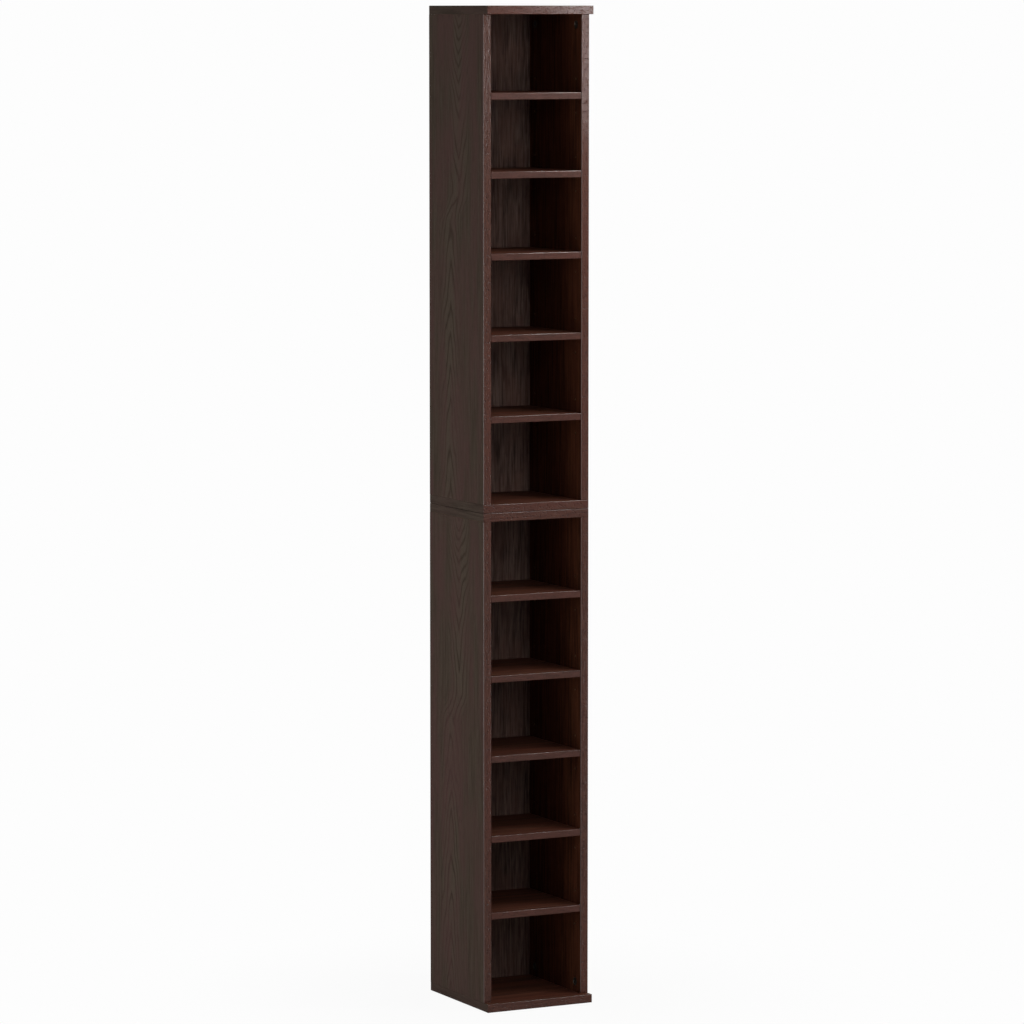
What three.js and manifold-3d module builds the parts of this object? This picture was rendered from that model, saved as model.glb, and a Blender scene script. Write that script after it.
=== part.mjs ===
// A tall, narrow tower of open shelves for CD and DVD cases, in dark woodgrain laminate.
// Two boxes of equal height stand one on the other. Each box has two sides between two flat
// boards, a thin back held in grooves, and five shelves whose ends hide the wires that carry them.
// The cap and the base stand out in front of the sides and are drawn tight by cam locks.
// Millimetres, +Z up. The front faces -Y, and the origin is on the floor under the middle.

import * as THREE from 'three';
import { mergeVertices } from 'three/addons/utils/BufferGeometryUtils.js';
import Module from 'manifold-3d';

const wasm = await Module();
wasm.setup();

// The tower as a whole.
const towerWidth = 208;
const towerHeight = 1770;
const sideDepth = 214;
const frontOverhang = 16; // how far the cap and the base stand out in front of the sides

// Boards.
const boardThickness = 15;
const shelfThickness = 12;
const backThickness = 3;
const backInset = 16; // from the rear edges forward to the front face of the back
const grooveDepth = 6; // of the grooves that hold the back
const frontRowInset = 21.5; // from the sides' front edges to the front row of holes
const rearRowInset = 20; // from the back's front face to the rear row of holes

// Shelves.
const shelfCount = 5; // in each box
const lowestTier = 142.5; // clear height over the floor of a box, before a shelf is moved
const shelfShift = 5.5; // the upper box's top shelf is this much lower, the lower box's last higher
const shelfSetback = 0.5; // from the sides' front edges to the shelf's
const holePitch = 30; // between the three holes that each shelf can use
const wireHeightShare = 0.42; // of the shelf's thickness, from its underside to the wire's centre line

// The bent wires that carry the shelves.
const wireDiameter = 3.5;
const wireBendShare = 1; // the bend's radius on the centre line, as a share of the diameter
const wireSkin = 6; // board left behind the end of the wire's hole

// Cam locks and their bolts.
const camDiameter = 15;
const camSkin = 2.5; // board left behind the cam
const camSunk = 0.2; // from the side's face to the cam's
const camFromEnd = 18; // from the end of the side to the cam's centre
const camSlotWidth = 1.6; // of the cross that takes the screwdriver
const camSlotLength = 7;
const camSlotDepth = 2;
const boltHeadDiameter = 6.5;
const boltHeadLength = 3;
const boltNeckDiameter = 4;
const boltStemDiameter = 7;
const boltThreadDiameter = 6;
const boltTipLength = 1.5;
const boltSkin = 3.5; // board left over the bolt's tip

// Screws that hold the two boards at mid-height. Their heads lie in the seam.
const screwHoleDiameter = 4.6;
const screwHeadDiameter = 8.8;
const screwPilotDiameter = 3.2;
const screwPilotDepth = 30;

// Dowels that stand in the lower box and locate the upper one.
const dowelDiameter = 8;
const dowelChamfer = 1;
const dowelSkin = 2.5; // board left behind the dowel
const dowelSideInset = 29; // from the sides' inner faces
const dowelFrontInset = 40; // from the sides' front edges
const dowelRearInset = 40; // from the back's front face

// Clearances.
const buttGap = 0.3; // between the end of a board and the face that it meets
const seamGap = 0.3; // between the two boxes
const grooveGap = 0.2; // on each face of the back, in its groove
const grooveEndGap = 0.5; // at the back's edges, in its groove
const shelfEndGap = 0.5;
const shelfRearGap = 1;
const wireGap = 0.25; // round the wire, in its hole and in the shelf's slot
const wireEndGap = 0.5; // past the end of the wire's leg
const slotEndGap = 0.3; // from the wire's front leg to the closed end of the shelf's slot
const slotRoom = 2; // from the wire to the floor of the shelf's slot
const camGap = 0.25; // round and behind the cam
const boltGap = 0.4; // round the bolt and at its two ends
const dowelGap = 0.25;
const overrun = 1; // how far a cut starts outside the face that it enters

// How finely round things are drawn.
const holeSides = 8;
const wireSides = 6;
const bendSteps = 3;
const camSides = 12;
const boltSides = 8;
const dowelSides = 8;

// Places that follow from the sizes. Heights inside a box are counted from its own underside.
const towerDepth = sideDepth + frontOverhang;
const boxHeight = (towerHeight - seamGap) / 2;
const innerWidth = towerWidth - 2 * boardThickness;
const innerHeight = boxHeight - 2 * boardThickness;
const rearY = towerDepth / 2;
const capFrontY = -towerDepth / 2;
const sideFrontY = rearY - sideDepth;
const backFrontY = rearY - backInset;
const rowYs = { front: sideFrontY + frontRowInset, rear: backFrontY - rearRowInset };
const tierHeight = (innerHeight - lowestTier - shelfCount * shelfThickness) / shelfCount;
const shelfDepth = backFrontY - shelfRearGap - sideFrontY - shelfSetback;
const shelfWidth = innerWidth - 2 * shelfEndGap;
const shelfCentreY = (sideFrontY + shelfSetback + backFrontY - shelfRearGap) / 2;
const wireAboveUnderside = wireHeightShare * shelfThickness;
const wireBendRadius = wireBendShare * wireDiameter;
const wireHoleDepth = boardThickness - wireSkin;
const wireLegLength = wireHoleDepth - wireEndGap;
const camHoleDepth = boardThickness - camSkin;
const boltX = innerWidth / 2 + boardThickness / 2;
const handSigns = { left: -1, right: 1 };

// Colours and finishes.
const laminate = { color: 0x3c2e2a, roughness: 0.42, metalness: 0 };
const shelfLaminate = { color: 0x39291f, roughness: 0.45, metalness: 0 };
const backLaminate = { color: 0x322723, roughness: 0.55, metalness: 0 };
const steel = { color: 0xa8a9aa, roughness: 0.35, metalness: 1 };
const zinc = { color: 0x9b9c9c, roughness: 0.45, metalness: 1 };
const beech = { color: 0xc79a6a, roughness: 0.7, metalness: 0 };

// A closed mesh as a solid that can be cut.
function solidFrom(geometry) {
  geometry.deleteAttribute('normal');
  geometry.deleteAttribute('uv');
  const merged = mergeVertices(geometry);
  const mesh = new wasm.Mesh({
    numProp: 3,
    vertProperties: merged.attributes.position.array,
    triVerts: Uint32Array.from(merged.index.array),
  });
  return new wasm.Manifold(mesh);
}

function geometryFrom(solid) {
  const mesh = solid.getMesh();
  const geometry = new THREE.BufferGeometry();
  geometry.setAttribute('position', new THREE.BufferAttribute(mesh.vertProperties, 3));
  geometry.setIndex(new THREE.BufferAttribute(mesh.triVerts, 1));
  geometry.computeVertexNormals();
  return geometry;
}

function cutAway(geometry, cutters) {
  const solid = cutters.reduce((rest, cutter) => rest.subtract(solidFrom(cutter)), solidFrom(geometry));
  return geometryFrom(solid);
}

// A box from its lowest corner to its highest, whichever way round the two are given.
function boxBetween(corner, opposite) {
  const sizes = corner.map((value, axis) => Math.abs(opposite[axis] - value));
  const centre = corner.map((value, axis) => (opposite[axis] + value) / 2);
  const geometry = new THREE.BoxGeometry(...sizes);
  geometry.translate(...centre);
  return geometry;
}

// A hole's flats lie on the true circle, so a round piece of the stated clearance always fits.
function holeRadius(diameter, sides) {
  return diameter / 2 / Math.cos(Math.PI / sides);
}

// A round cutter from a mouth into the material, wider at the mouth if that is stated.
function holeInto(mouth, direction, diameter, depth, sides = holeSides, mouthDiameter = diameter) {
  const radius = holeRadius(diameter, sides);
  const mouthRadius = holeRadius(mouthDiameter, sides);
  const geometry = new THREE.CylinderGeometry(radius, mouthRadius, depth + overrun, sides);
  geometry.translate(0, (depth - overrun) / 2, 0);
  const turn = new THREE.Quaternion().setFromUnitVectors(new THREE.Vector3(0, 1, 0), direction);
  geometry.applyQuaternion(turn);
  geometry.translate(mouth[0], mouth[1], mouth[2]);
  return geometry;
}

function addPiece(group, name, geometry, finish, position = [0, 0, 0], rotation = [0, 0, 0]) {
  const mesh = new THREE.Mesh(geometry, new THREE.MeshStandardMaterial(finish));
  mesh.name = name;
  mesh.position.set(...position);
  mesh.rotation.set(...rotation);
  group.add(mesh);
}

// The height, in its box, of the inner face of the board at one end: 1 is the top, -1 the bottom.
function innerFaceZ(end) {
  return end > 0 ? boxHeight - boardThickness : boardThickness;
}

function outerFaceZ(end) {
  return end > 0 ? boxHeight : 0;
}

// The groove for the back, in the inner face of a flat board.
function backGroove(end) {
  const reach = innerWidth / 2 + grooveDepth;
  const frontY = backFrontY - grooveGap;
  const backY = backFrontY + backThickness + grooveGap;
  const face = innerFaceZ(end);
  return boxBetween([-reach, frontY, face - end * overrun], [reach, backY, face + end * grooveDepth]);
}

// The cap or the base, with blind holes for the threads of the cam bolts.
function overhangingBoard(end) {
  const corner = [-towerWidth / 2, capFrontY, innerFaceZ(end)];
  const opposite = [towerWidth / 2, rearY, outerFaceZ(end)];
  const cutters = [backGroove(end)];
  const inward = new THREE.Vector3(0, 0, end);
  for (const sign of Object.values(handSigns)) {
    for (const y of Object.values(rowYs)) {
      const mouth = [sign * boltX, y, innerFaceZ(end)];
      const depth = boardThickness - boltSkin;
      cutters.push(holeInto(mouth, inward, boltThreadDiameter + 2 * boltGap, depth));
    }
  }
  return cutAway(boxBetween(corner, opposite), cutters);
}

// A board at mid-height, with sunk screw holes and dowel holes in the face at the seam.
function seamBoard(end) {
  const corner = [-towerWidth / 2, sideFrontY, innerFaceZ(end)];
  const opposite = [towerWidth / 2, rearY, outerFaceZ(end)];
  const cutters = [backGroove(end)];
  const inward = new THREE.Vector3(0, 0, -end);
  const sinkDepth = (screwHeadDiameter - screwHoleDiameter) / 2;
  for (const sign of Object.values(handSigns)) {
    for (const y of Object.values(rowYs)) {
      const mouth = [sign * boltX, y, outerFaceZ(end)];
      const wide = screwHeadDiameter + 2 * overrun;
      cutters.push(holeInto(mouth, inward, screwHoleDiameter, boardThickness + overrun));
      cutters.push(holeInto(mouth, inward, screwHoleDiameter, sinkDepth, holeSides, wide));
    }
    for (const y of dowelYs()) {
      const mouth = [sign * dowelX(), y, outerFaceZ(end)];
      const depth = boardThickness - dowelSkin;
      cutters.push(holeInto(mouth, inward, dowelDiameter + 2 * dowelGap, depth, dowelSides));
    }
  }
  return cutAway(boxBetween(corner, opposite), cutters);
}

function dowelX() {
  return innerWidth / 2 - dowelSideInset;
}

function dowelYs() {
  return [sideFrontY + dowelFrontInset, backFrontY - dowelRearInset];
}

// The cutters for a cam lock in a side: the round pocket and the bore from the side's end to it.
function camCutters(sign, y, end) {
  const outward = new THREE.Vector3(sign, 0, 0);
  const inward = new THREE.Vector3(0, 0, -end);
  const pocketMouth = [sign * innerWidth / 2, y, innerFaceZ(end) - end * camFromEnd];
  const pocket = holeInto(pocketMouth, outward, camDiameter, camHoleDepth, camSides);
  const boreMouth = [sign * boltX, y, innerFaceZ(end)];
  const bore = holeInto(boreMouth, inward, boltStemDiameter + 2 * boltGap, camFromEnd);
  return [pocket, bore];
}

// One side of a box. camEnd is the end that the cap or the base is drawn to.
function sidePanel(sign, camEnd, shelfUndersides) {
  const innerX = sign * innerWidth / 2;
  const lowZ = innerFaceZ(-1) + buttGap;
  const highZ = innerFaceZ(1) - buttGap;
  const outward = new THREE.Vector3(sign, 0, 0);
  const intoSide = new THREE.Vector3(0, 0, camEnd);
  const grooveFront = [innerX - sign * overrun, backFrontY - grooveGap, lowZ - overrun];
  const grooveRear = [innerX + sign * grooveDepth, backFrontY + backThickness + grooveGap, highZ + overrun];
  const cutters = [boxBetween(grooveFront, grooveRear)];
  for (const y of Object.values(rowYs)) {
    cutters.push(...camCutters(sign, y, camEnd));
    const pilotMouth = [sign * boltX, y, innerFaceZ(-camEnd) + camEnd * buttGap];
    cutters.push(holeInto(pilotMouth, intoSide, screwPilotDiameter, screwPilotDepth));
    for (const underside of shelfUndersides) {
      for (const step of [-1, 0, 1]) {
        const mouth = [innerX, y, underside + wireAboveUnderside + step * holePitch];
        cutters.push(holeInto(mouth, outward, wireDiameter + 2 * wireGap, wireHoleDepth));
      }
    }
  }
  const corner = [innerX, sideFrontY, lowZ];
  const opposite = [sign * towerWidth / 2, rearY, highZ];
  return cutAway(boxBetween(corner, opposite), cutters);
}

// The thin back, in the grooves of the sides and of both flat boards.
function backPanel() {
  const reach = grooveDepth - grooveEndGap;
  const halfWidth = innerWidth / 2 + reach;
  const corner = [-halfWidth, backFrontY, innerFaceZ(-1) - reach];
  const opposite = [halfWidth, backFrontY + backThickness, innerFaceZ(1) + reach];
  return boxBetween(corner, opposite);
}

// A shelf about its own middle, on its underside. The slot in each end is open at the rear and
// stops short of the front, so the wire's front leg stops the shelf level with the sides.
function shelf() {
  const halfWidth = shelfWidth / 2;
  const halfDepth = shelfDepth / 2;
  const slotDepth = wireBendRadius + wireDiameter / 2 + slotRoom - shelfEndGap;
  const slotHalfHeight = wireDiameter / 2 + wireGap;
  const slotFrontY = rowYs.front - wireDiameter / 2 - slotEndGap - shelfCentreY;
  const cutters = Object.values(handSigns).map((sign) => boxBetween(
    [sign * (halfWidth - slotDepth), slotFrontY, wireAboveUnderside - slotHalfHeight],
    [sign * (halfWidth + overrun), halfDepth + overrun, wireAboveUnderside + slotHalfHeight],
  ));
  const board = boxBetween([-halfWidth, -halfDepth, 0], [halfWidth, halfDepth, shelfThickness]);
  return cutAway(board, cutters);
}

// The centre line of a shelf wire: a leg, a quarter bend, the long run, a bend and a leg.
// It runs through its own list of places, so that the bends get all the steps.
class WireLine extends THREE.Curve {
  constructor(run) {
    super();
    const halfRun = run / 2;
    this.places = [new THREE.Vector3(-wireLegLength, -halfRun, 0)];
    for (const end of [-1, 1]) {
      for (let step = 0; step <= bendSteps; step += 1) {
        const share = end < 0 ? step / bendSteps : 1 - step / bendSteps;
        const turn = share * Math.PI / 2;
        const x = wireBendRadius * Math.sin(turn);
        const y = end * (halfRun - wireBendRadius * (1 - Math.cos(turn)));
        this.places.push(new THREE.Vector3(x, y, 0));
      }
    }
    this.places.push(new THREE.Vector3(-wireLegLength, halfRun, 0));
  }

  getPoint(t, target = new THREE.Vector3()) {
    const along = t * (this.places.length - 1);
    const first = Math.min(Math.floor(along), this.places.length - 2);
    return target.lerpVectors(this.places[first], this.places[first + 1], along - first);
  }

  getUtoTmapping(u) {
    return u;
  }
}

// A shelf wire on its own: the long run stands off the plane of the side's face, where X is zero.
function shelfWire() {
  const line = new WireLine(rowYs.rear - rowYs.front);
  const corners = Array.from({ length: wireSides }, (_, corner) => {
    const angle = corner * 2 * Math.PI / wireSides;
    return new THREE.Vector2(Math.cos(angle), Math.sin(angle)).multiplyScalar(wireDiameter / 2);
  });
  const section = new THREE.Shape(corners);
  const steps = line.places.length - 1;
  return new THREE.ExtrudeGeometry(section, { steps, bevelEnabled: false, extrudePath: line });
}

// A cam lock: its face at X zero, its body towards +X, and its bore open towards +Z.
function camLock() {
  const radius = camDiameter / 2 - camGap;
  const faceX = camSunk;
  const backX = camHoleDepth - camGap;
  const disc = new THREE.CylinderGeometry(radius, radius, backX - faceX, camSides);
  disc.rotateZ(-Math.PI / 2);
  disc.translate((faceX + backX) / 2, 0, 0);
  const down = new THREE.Vector3(0, 0, -1);
  const boreDepth = radius + boltHeadLength / 2 + boltGap;
  const bore = holeInto([boardThickness / 2, 0, radius], down, boltHeadDiameter + 2 * boltGap, boreDepth);
  const halfLength = camSlotLength / 2;
  const halfWidth = camSlotWidth / 2;
  const slotStart = faceX - overrun;
  const slotEnd = faceX + camSlotDepth;
  const upright = boxBetween([slotStart, -halfWidth, -halfLength], [slotEnd, halfWidth, halfLength]);
  const level = boxBetween([slotStart, -halfLength, -halfWidth], [slotEnd, halfLength, halfWidth]);
  return cutAway(disc, [bore, upright, level]);
}

// A cam bolt: the thread goes up from the joint at Z zero, the stem and the head go down.
function camBolt() {
  const headEnd = -camFromEnd - boltHeadLength / 2;
  const headTop = headEnd + boltHeadLength;
  const stemEnd = -camFromEnd + camDiameter / 2 + boltGap;
  const tip = boardThickness - boltSkin - boltGap;
  const profile = [
    [0, headEnd],
    [boltHeadDiameter / 2, headEnd],
    [boltHeadDiameter / 2, headTop],
    [boltNeckDiameter / 2, headTop],
    [boltNeckDiameter / 2, stemEnd],
    [boltStemDiameter / 2, stemEnd],
    [boltStemDiameter / 2, -buttGap],
    [boltThreadDiameter / 2, -buttGap],
    [boltThreadDiameter / 2, tip - boltTipLength],
    [0, tip],
  ];
  const geometry = new THREE.LatheGeometry(profile.map(([x, y]) => new THREE.Vector2(x, y)), boltSides);
  geometry.rotateX(Math.PI / 2);
  return geometry;
}

// A dowel with chamfered ends, about the middle of the seam.
function dowel() {
  const radius = dowelDiameter / 2;
  const half = seamGap / 2 + boardThickness - dowelSkin - dowelGap;
  const profile = [
    [0, -half],
    [radius - dowelChamfer, -half],
    [radius, dowelChamfer - half],
    [radius, half - dowelChamfer],
    [radius - dowelChamfer, half],
    [0, half],
  ];
  const geometry = new THREE.LatheGeometry(profile.map(([x, y]) => new THREE.Vector2(x, y)), dowelSides);
  geometry.rotateX(Math.PI / 2);
  return geometry;
}

// The undersides of a box's shelves, from the top one down. One of them is moved by a shift.
function shelfUndersidesOf(movedShelf, shift) {
  return Array.from({ length: shelfCount }, (_, place) => {
    const dropped = (place + 1) * (tierHeight + shelfThickness);
    return boxHeight - boardThickness - dropped + (place === movedShelf ? shift : 0);
  });
}

function addShelves(group, prefix, undersides) {
  const shelfGeometry = shelf();
  const wireGeometry = shelfWire();
  const middleY = (rowYs.front + rowYs.rear) / 2;
  undersides.forEach((underside, place) => {
    const name = `${prefix}_shelf_${place + 1}`;
    addPiece(group, name, shelfGeometry, shelfLaminate, [0, shelfCentreY, underside]);
    for (const [hand, sign] of Object.entries(handSigns)) {
      const wirePlace = [sign * innerWidth / 2, middleY, underside + wireAboveUnderside];
      const wireTurn = [0, 0, sign > 0 ? Math.PI : 0];
      addPiece(group, `${name}_${hand}_wire`, wireGeometry, steel, wirePlace, wireTurn);
    }
  });
}

function addCamFittings(group, prefix, end) {
  const camGeometry = camLock();
  const boltGeometry = camBolt();
  const tilt = end > 0 ? 0 : Math.PI;
  for (const [row, y] of Object.entries(rowYs)) {
    for (const [hand, sign] of Object.entries(handSigns)) {
      const camPlace = [sign * innerWidth / 2, y, innerFaceZ(end) - end * camFromEnd];
      const camTurn = [tilt, 0, sign > 0 ? 0 : Math.PI];
      addPiece(group, `${prefix}_cam_lock_${row}_${hand}`, camGeometry, zinc, camPlace, camTurn);
      const boltPlace = [sign * boltX, y, innerFaceZ(end)];
      addPiece(group, `${prefix}_cam_bolt_${row}_${hand}`, boltGeometry, steel, boltPlace, [tilt, 0, 0]);
    }
  }
}

// A box of the tower. camEnd is 1 where the overhanging board is on top, -1 where it is below.
function box(prefix, camEnd, boardNames, undersides) {
  const group = new THREE.Group();
  addPiece(group, boardNames.overhanging, overhangingBoard(camEnd), laminate);
  addPiece(group, boardNames.atSeam, seamBoard(-camEnd), laminate);
  for (const [hand, sign] of Object.entries(handSigns)) {
    addPiece(group, `${prefix}_${hand}_side`, sidePanel(sign, camEnd, undersides), laminate);
  }
  addPiece(group, `${prefix}_back_panel`, backPanel(), backLaminate);
  addShelves(group, prefix, undersides);
  addCamFittings(group, prefix, camEnd);
  return group;
}

function addDowels(group) {
  const geometry = dowel();
  const rows = { front: dowelYs()[0], rear: dowelYs()[1] };
  for (const [row, y] of Object.entries(rows)) {
    for (const [hand, sign] of Object.entries(handSigns)) {
      const place = [sign * dowelX(), y, towerHeight / 2];
      addPiece(group, `stack_dowel_${row}_${hand}`, geometry, beech, place);
    }
  }
}

const tower = new THREE.Group();

const lowerNames = { overhanging: 'lower_base_board', atSeam: 'lower_top_board' };
const lowerBox = box('lower', -1, lowerNames, shelfUndersidesOf(shelfCount - 1, shelfShift));
tower.add(lowerBox);

const upperNames = { overhanging: 'upper_cap_board', atSeam: 'upper_bottom_board' };
const upperBox = box('upper', 1, upperNames, shelfUndersidesOf(0, -shelfShift));
upperBox.position.z = boxHeight + seamGap;
tower.add(upperBox);

addDowels(tower);

export default tower;
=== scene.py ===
# %% [markdown]
# A tower of open shelves for CD and DVD cases
#
# The real object is a flat-pack tower, 1.77 m tall and 0.21 m wide: two boxes of equal height, one on
# the other. Every board is chipboard with a printed dark oak laminate, and the edges that show carry
# a thin plastic edging. This lesson models each board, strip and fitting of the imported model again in
# finer detail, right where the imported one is, and gives each the finish that the real one has. All
# lengths are metres, +Z is up and the front faces -Y.

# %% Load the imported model
import math

import bmesh
import bpy
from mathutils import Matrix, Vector


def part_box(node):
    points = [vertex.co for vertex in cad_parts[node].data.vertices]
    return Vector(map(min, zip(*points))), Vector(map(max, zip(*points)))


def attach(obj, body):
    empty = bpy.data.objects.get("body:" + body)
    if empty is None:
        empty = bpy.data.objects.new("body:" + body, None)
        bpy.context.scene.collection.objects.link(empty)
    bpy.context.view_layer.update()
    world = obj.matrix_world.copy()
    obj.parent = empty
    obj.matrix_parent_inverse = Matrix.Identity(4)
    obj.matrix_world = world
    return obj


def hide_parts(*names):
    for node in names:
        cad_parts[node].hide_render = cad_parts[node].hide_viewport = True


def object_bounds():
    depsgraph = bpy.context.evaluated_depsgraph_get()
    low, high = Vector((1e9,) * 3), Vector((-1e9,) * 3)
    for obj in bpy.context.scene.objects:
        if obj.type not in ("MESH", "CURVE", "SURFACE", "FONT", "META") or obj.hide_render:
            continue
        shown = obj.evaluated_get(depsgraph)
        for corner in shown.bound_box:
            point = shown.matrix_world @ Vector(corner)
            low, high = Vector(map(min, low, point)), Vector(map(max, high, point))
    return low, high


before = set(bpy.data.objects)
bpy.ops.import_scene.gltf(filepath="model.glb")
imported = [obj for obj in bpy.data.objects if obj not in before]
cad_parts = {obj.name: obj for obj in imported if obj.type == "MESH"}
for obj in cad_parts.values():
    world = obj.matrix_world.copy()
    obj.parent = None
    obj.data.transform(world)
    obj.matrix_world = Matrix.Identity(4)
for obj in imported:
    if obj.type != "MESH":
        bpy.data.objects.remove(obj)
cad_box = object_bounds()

MM = 0.001
print("packed box in mm:", [[round(value / MM, 1) for value in corner] for corner in cad_box])

# %% [markdown]
# The camera
#
# The photograph was taken from the left of the tower's front, level with its top and far away. Its
# long lens keeps the upright edges almost parallel. The camera's place was found by matching the
# boards' edges, which here fall within about three pixels of the photograph's.

# %% Camera
CAMERA_PLACE = Vector((-3.953, -7.7355, 1.7619))
CAMERA_PITCH = 84.166  # degrees from straight down
CAMERA_YAW = -27.082  # degrees from the +Y direction
SENSOR_WIDTH = 36.0
LENS = 172.66
FARTHEST_SEEN = 60.0

camera_turn = (math.radians(CAMERA_PITCH), 0.0, math.radians(CAMERA_YAW))
bpy.ops.object.camera_add(location=CAMERA_PLACE, rotation=camera_turn)
camera = bpy.context.active_object
camera.name = "photo_camera"
camera.data.sensor_width = SENSOR_WIDTH
camera.data.lens = LENS
camera.data.clip_end = FARTHEST_SEEN
bpy.context.scene.camera = camera
tower_middle = (Vector(cad_box[0]) + Vector(cad_box[1])) / 2
print("camera to tower, metres:", round((CAMERA_PLACE - tower_middle).length, 2))

# %% [markdown]
# Small helpers for colours and shader nodes
#
# A colour in a maker's chart is an sRGB hex value, while the renderer works with linear light, so
# one function turns the first into the second. Another adds a shader node, sets its menus and fills
# its sockets in one go. It takes the node's type without the word ShaderNode in front.

# %% Colour and node helpers
def colour(hex_value):
    """An sRGB hex colour, such as "3a2f2b", as linear red, green, blue and alpha."""
    channels = []
    for start in (0, 2, 4):
        value = int(hex_value[start:start + 2], 16) / 255
        channels.append(value / 12.92 if value <= 0.04045 else ((value + 0.055) / 1.055) ** 2.4)
    return (*channels, 1.0)


def add_node(tree, kind, inputs=None, **settings):
    """Adds a node. inputs gives sockets a number, a colour, or a node or output to link."""
    node = tree.nodes.new("ShaderNode" + kind)
    for name, value in settings.items():
        setattr(node, name, value)
    for socket, value in (inputs or {}).items():
        if isinstance(value, bpy.types.Node):
            value = value.outputs[0]
        if isinstance(value, bpy.types.NodeSocket):
            tree.links.new(value, node.inputs[socket])
        else:
            node.inputs[socket].default_value = value
    return node


def new_material(name):
    """An empty material and its node tree."""
    material = bpy.data.materials.new(name)
    material.use_nodes = True
    material.node_tree.nodes.clear()
    return material, material.node_tree


print("3a2f2b in linear light:", [round(value, 4) for value in colour("3a2f2b")[:3]])

# %% [markdown]
# The white surroundings
#
# The photograph has a plain white studio round the tower. The world is plain white for the camera
# and for reflections, and a softer even light for everything else. Light Path tells the two apart.
# A large floor does the same. Round the tower's foot it keeps a little of its own shading, so the
# tower's shadow stays, and that share fades with the distance, so the floor has no horizon.

# %% World and floor
AMBIENT_STRENGTH = 0.22
BACKGROUND = colour("fdfdfd")
FLOOR_SHADE_SHARE = 0.04  # the floor's own shading that the camera sees at the tower's foot
SHADE_FADES_FROM = 0.15
SHADE_FADES_TO = 0.7
FLOOR_WIDTH = 40.0


def seen_directly(tree):
    """1 for rays from the camera, from a reflection or through glass, else 0."""
    path = add_node(tree, "LightPath")
    share = path.outputs["Is Camera Ray"]
    for ray in ("Is Glossy Ray", "Is Transmission Ray"):
        share = add_node(tree, "Math", {0: share, 1: path.outputs[ray]}, operation="MAXIMUM")
    return share


world = bpy.data.worlds.new("white_studio")
bpy.context.scene.world = world
world.use_nodes = True
world_tree = world.node_tree
world_tree.nodes.clear()
even_light = add_node(world_tree, "Background", {"Color": colour("ffffff"), "Strength": AMBIENT_STRENGTH})
white_view = add_node(world_tree, "Background", {"Color": BACKGROUND, "Strength": 1.0})
world_mix = add_node(world_tree, "MixShader", {0: seen_directly(world_tree), 1: even_light, 2: white_view})
add_node(world_tree, "OutputWorld", {"Surface": world_mix})

floor_material, floor_tree = new_material("painted_white_floor")
floor_paint = add_node(floor_tree, "BsdfDiffuse", {"Color": colour("e8e8e6")})
floor_white = add_node(floor_tree, "Emission", {"Color": BACKGROUND, "Strength": 1.0})
place = add_node(floor_tree, "TexCoord").outputs["Object"]
from_tower = add_node(floor_tree, "VectorMath", {0: place}, operation="LENGTH")
white_share = add_node(floor_tree, "MapRange", {
    "Value": from_tower.outputs["Value"], "From Min": SHADE_FADES_FROM, "From Max": SHADE_FADES_TO,
    "To Min": 1.0 - FLOOR_SHADE_SHARE, "To Max": 1.0,
}, interpolation_type="SMOOTHSTEP")
whiteness = {0: seen_directly(floor_tree), 1: white_share}
floor_share = add_node(floor_tree, "Math", whiteness, operation="MULTIPLY")
floor_mix = add_node(floor_tree, "MixShader", {0: floor_share, 1: floor_paint, 2: floor_white})
add_node(floor_tree, "OutputMaterial", {"Surface": floor_mix})

bpy.ops.mesh.primitive_plane_add(size=FLOOR_WIDTH, location=(0, 0, 0))
floor = bpy.context.active_object
floor.name = "studio_floor"
floor.data.materials.append(floor_material)
bpy.context.scene.view_settings.view_transform = "Standard"
print("floor and world are white to the camera, world light", AMBIENT_STRENGTH)

# %% [markdown]
# The lamps
#
# Soft boxes light the tower. Two stand in front, one above the other, and reach into the
# compartments. A low one on the right lights the strips near the foot. A narrow tall one near the top
# right corner gives the embossed edges there their sheen. Two more hang on the right, higher than the
# tower, and draw the pale lines on the shelves' upper arrises. One is aimed at each box. Two light
# the left side, and a big one the right side and the back.

# %% Lamps
def soft_box(name, place, target, width, height, watts):
    """An area lamp that looks from a place to a target. The camera doesn't see it."""
    turn = (Vector(target) - Vector(place)).to_track_quat("-Z", "Y").to_euler()
    bpy.ops.object.light_add(type="AREA", location=place, rotation=turn)
    lamp = bpy.context.active_object
    lamp.name = name
    lamp.data.shape = "RECTANGLE"
    lamp.data.size = width
    lamp.data.size_y = height
    lamp.data.energy = watts
    lamp.visible_camera = False
    print(name, "watts", watts, "size", width, "x", height)


soft_box("high_box", (-0.2, -2.6, 2.3), (0, 0, 1.5), 0.45, 0.6, 6.5)
soft_box("front_box", (0.24, -2.6, 1.45), (0, 0, 1.2), 0.4, 1.2, 10.8)
soft_box("low_box", (1.9, -1.6, 0.15), (0, 0, 0.15), 0.7, 0.5, 29.0)
soft_box("sheen_box", (0.517, -0.89, 1.79), (0.1, -0.1, 1.79), 0.1, 0.5, 6.8)
soft_box("top_box", (1.38, -1.1, 2.9), (0, 0, 1.3), 0.25, 0.4, 14.0)
soft_box("middle_box", (1.42, -1.1, 2.0), (0, 0, 0.4), 0.25, 0.4, 7.0)
soft_box("left_rear_box", (-2.0, 0.75, 0.75), (-0.1, 0, 0.7), 0.5, 1.5, 12.2)
soft_box("left_front_box", (-2.0, -0.7, 0.75), (-0.1, 0, 0.75), 0.5, 1.8, 5.0)
soft_box("right_box", (2.6, 1.3, 1.2), (0.1, 0, 0.85), 2.0, 2.4, 30.0)

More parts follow.
